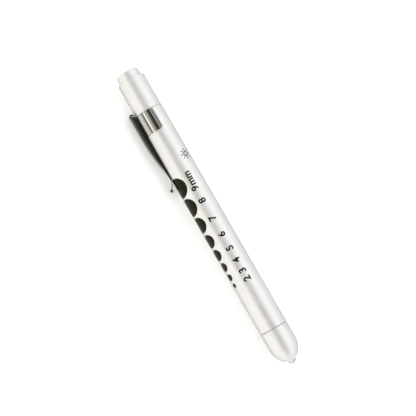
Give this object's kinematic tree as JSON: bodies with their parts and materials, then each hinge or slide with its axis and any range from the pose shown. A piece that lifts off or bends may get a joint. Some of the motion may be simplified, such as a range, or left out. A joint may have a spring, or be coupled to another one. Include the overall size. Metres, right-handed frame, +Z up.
{
  "type": "medical pen light",
  "caption": "Slim satin aluminium examination pen light with a tail push switch, chrome pocket clip, rounded nose with a lens, and a printed pupil size gauge.",
  "frame": {"origin": "on the pen's axis, at the seam between the barrel and the nose cone", "axes": "+X along the pen's axis towards the light; +Z up, square to the surface that the pen lies on, touching it with the barrel's underside and the outer corner of the clip's bead; the clip is on the -Y side, below the axis"},
  "size_m": [0.1384, 0.0152, 0.0124],
  "materials": {
    "satin_aluminium": "satin silver anodised",
    "clip_chrome": "polished chrome plate",
    "gauge_ink": "glossy black printed ink, for the gauge's dots and numbers, which no solid carries",
    "clear_lens": "clear moulded epoxy",
    "phosphor": "matte yellow phosphor",
    "tinned_lead": "tinned",
    "lamp_plastic": "moulded natural nylon",
    "switch_plastic": "moulded black acetal",
    "brass_contact": "stamped and turned, slightly dull",
    "spring_steel": "nickel-plated wire",
    "cell_steel": "nickel-plated steel",
    "cell_fill": "dark pressed powder",
    "cell_film": "printed shrink film"
  },
  "bodies": {
    "barrel": {"barrel": "satin_aluminium", "clip_band": "clip_chrome", "front_cell_can": "cell_steel", "front_cell_core": "cell_fill", "front_cell_seal": "lamp_plastic", "front_cell_terminal": "cell_steel", "front_cell_sleeve": "cell_film", "rear_cell_can": "cell_steel", "rear_cell_core": "cell_fill", "rear_cell_seal": "lamp_plastic", "rear_cell_terminal": "cell_steel", "rear_cell_sleeve": "cell_film"},
    "clip_arm": {"clip_arm": "clip_chrome"},
    "lamp_module": {"lamp_holder": "lamp_plastic", "lamp_ring_contact": "brass_contact", "lamp_centre_contact": "brass_contact", "led_lens": "clear_lens", "led_leads": "tinned_lead", "led_chip": "phosphor"},
    "nose_cone": {"nose_cone": "satin_aluminium"},
    "switch_module": {"switch_housing": "switch_plastic", "switch_ring_contact": "brass_contact", "spring_rivet": "brass_contact", "battery_spring": "spring_steel"},
    "tail_cap": {"tail_cap": "satin_aluminium"},
    "push_button": {"push_button": "satin_aluminium", "button_plunger": "lamp_plastic", "moving_contact": "brass_contact", "button_spring": "spring_steel"}
  },
  "joints": [
    {"name": "clip_flex", "type": "hinge", "parent": "barrel", "child": "clip_arm", "pos_m": [-0.1056, -0.00674, -0.00321], "axis": [0, 0.4296, -0.903], "range_deg": [0, 5], "stiffness_Nm_per_rad": 1, "springref_deg": -1.72},
    {"name": "nose_advance", "type": "slide", "parent": "barrel", "child": "lamp_module", "axis": [1, 0, 0], "range_m": [0, 0.0064]},
    {"name": "nose_turn", "type": "hinge", "parent": "lamp_module", "child": "nose_cone", "pos_m": [0, 0, 0], "axis": [1, 0, 0], "range_deg": [0, 2880]},
    {"name": "cap_advance", "type": "slide", "parent": "barrel", "child": "switch_module", "axis": [-1, 0, 0], "range_m": [0, 0.0064], "deforming": ["battery_spring"]},
    {"name": "cap_turn", "type": "hinge", "parent": "switch_module", "child": "tail_cap", "pos_m": [-0.1034, 0, 0], "axis": [-1, 0, 0], "range_deg": [0, 2880]},
    {"name": "button_press", "type": "slide", "parent": "switch_module", "child": "push_button", "axis": [1, 0, 0], "range_m": [0, 0.002], "stiffness_N_per_m": 800, "springref_m": -0.001, "deforming": ["button_spring"]}
  ],
  "couplings": [
    {"joint": "nose_advance", "follows": "nose_turn", "m_per_rad": 0.00012732},
    {"joint": "cap_advance", "follows": "cap_turn", "m_per_rad": 0.00012732}
  ]
}
